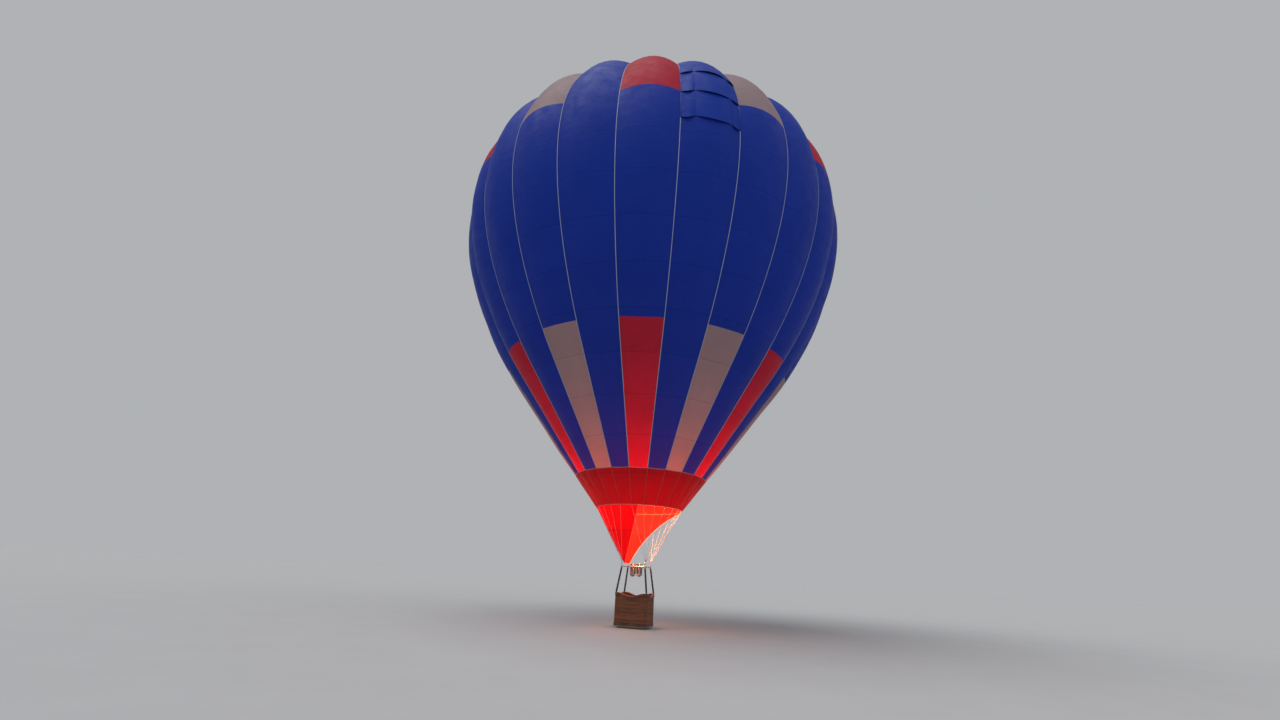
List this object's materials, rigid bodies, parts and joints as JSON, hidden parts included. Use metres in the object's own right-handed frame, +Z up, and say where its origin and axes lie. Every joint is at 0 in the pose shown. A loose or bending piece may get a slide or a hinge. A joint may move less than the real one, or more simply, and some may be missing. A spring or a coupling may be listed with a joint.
{
  "type": "hot air balloon",
  "caption": "Hot air balloon with a striped gored envelope, fabric scoop, gimballed twin burner and wicker basket hung on flying wires.",
  "frame": {"origin": "middle of the basket's underside, on the mount air, at runner level", "axes": "+Z up along the envelope's axis, +Y to the back, +X to the right when seen from the front; the scoop is on the left, at -X"},
  "size_m": [16.3678, 16.3678, 22.5048],
  "materials": {
    "envelope_blue": "coated ripstop nylon, slight sheen",
    "envelope_red": "coated ripstop nylon, slight sheen",
    "envelope_white": "coated ripstop nylon, slight sheen",
    "scoop_fabric": "heat-resistant woven fabric, matt",
    "webbing": "woven load tape",
    "frame_steel": "brushed stainless tube",
    "wire_steel": "stranded stainless wire",
    "burner_coil": "heat-tinted stainless coil",
    "valve_brass": "machined, lightly tarnished",
    "cylinder_steel": "brushed",
    "wicker": "woven cane, varnished",
    "leather": "padded hide, worn at the edges",
    "wood": "oiled plywood and ash",
    "upright_cover": "padded nylon cover"
  },
  "bodies": {
    "balloon": {"gore_01": "envelope_blue", "gore_02": "envelope_red", "gore_03": "envelope_blue", "gore_04": "envelope_white", "gore_05": "envelope_blue", "gore_06": "envelope_red", "gore_07": "envelope_blue", "gore_08": "envelope_white", "gore_09": "envelope_blue", "gore_10": "envelope_red", "gore_11": "envelope_blue", "gore_12": "envelope_white", "gore_13": "envelope_blue", "gore_14": "envelope_red", "gore_15": "envelope_blue", "gore_16": "envelope_white", "gore_17": "envelope_blue", "gore_18": "envelope_red", "gore_19": "envelope_blue", "gore_20": "envelope_white", "gore_21": "envelope_blue", "gore_22": "envelope_red", "gore_23": "envelope_blue", "gore_24": "envelope_white", "lower_band": "envelope_red", "mouth_hem": "webbing", "crown_ring": "webbing", "scoop": "scoop_fabric", "load_frame": "frame_steel", "basket_wall": "wicker", "basket_rim": "leather", "basket_floor": "wood", "runner_front": "wood", "runner_back": "wood", "karabiner_front_right": "frame_steel", "flying_wires_front_right": "wire_steel", "upright_front_right": "upright_cover", "fuel_cylinder_front_right": "cylinder_steel", "karabiner_back_right": "frame_steel", "flying_wires_back_right": "wire_steel", "upright_back_right": "upright_cover", "fuel_cylinder_back_right": "cylinder_steel", "karabiner_back_left": "frame_steel", "flying_wires_back_left": "wire_steel", "upright_back_left": "upright_cover", "fuel_cylinder_back_left": "cylinder_steel", "karabiner_front_left": "frame_steel", "flying_wires_front_left": "wire_steel", "upright_front_left": "upright_cover", "fuel_cylinder_front_left": "cylinder_steel"},
    "gimbal_ring": {"gimbal_ring": "frame_steel"},
    "burner": {"burner_frame": "frame_steel", "burner_coil_left": "burner_coil", "burner_coil_right": "burner_coil", "blast_valve_left": "valve_brass", "blast_valve_right": "valve_brass"},
    "parachute": {"parachute_panel": "envelope_red"}
  },
  "joints": [
    {"name": "gimbal_tilt", "type": "hinge", "parent": "balloon", "child": "gimbal_ring", "pos_m": [0, 0, 2.02], "axis": [1, 0, 0], "range_deg": [-20, 20]},
    {"name": "burner_tilt", "type": "hinge", "parent": "gimbal_ring", "child": "burner", "pos_m": [0, 0, 2.02], "axis": [0, 1, 0], "range_deg": [-20, 20]},
    {"name": "parachute_drop", "type": "slide", "parent": "balloon", "child": "parachute", "axis": [0, 0, -1], "range_m": [0, 1.2], "stiffness_N_per_m": 150, "springref_m": -1}
  ]
}
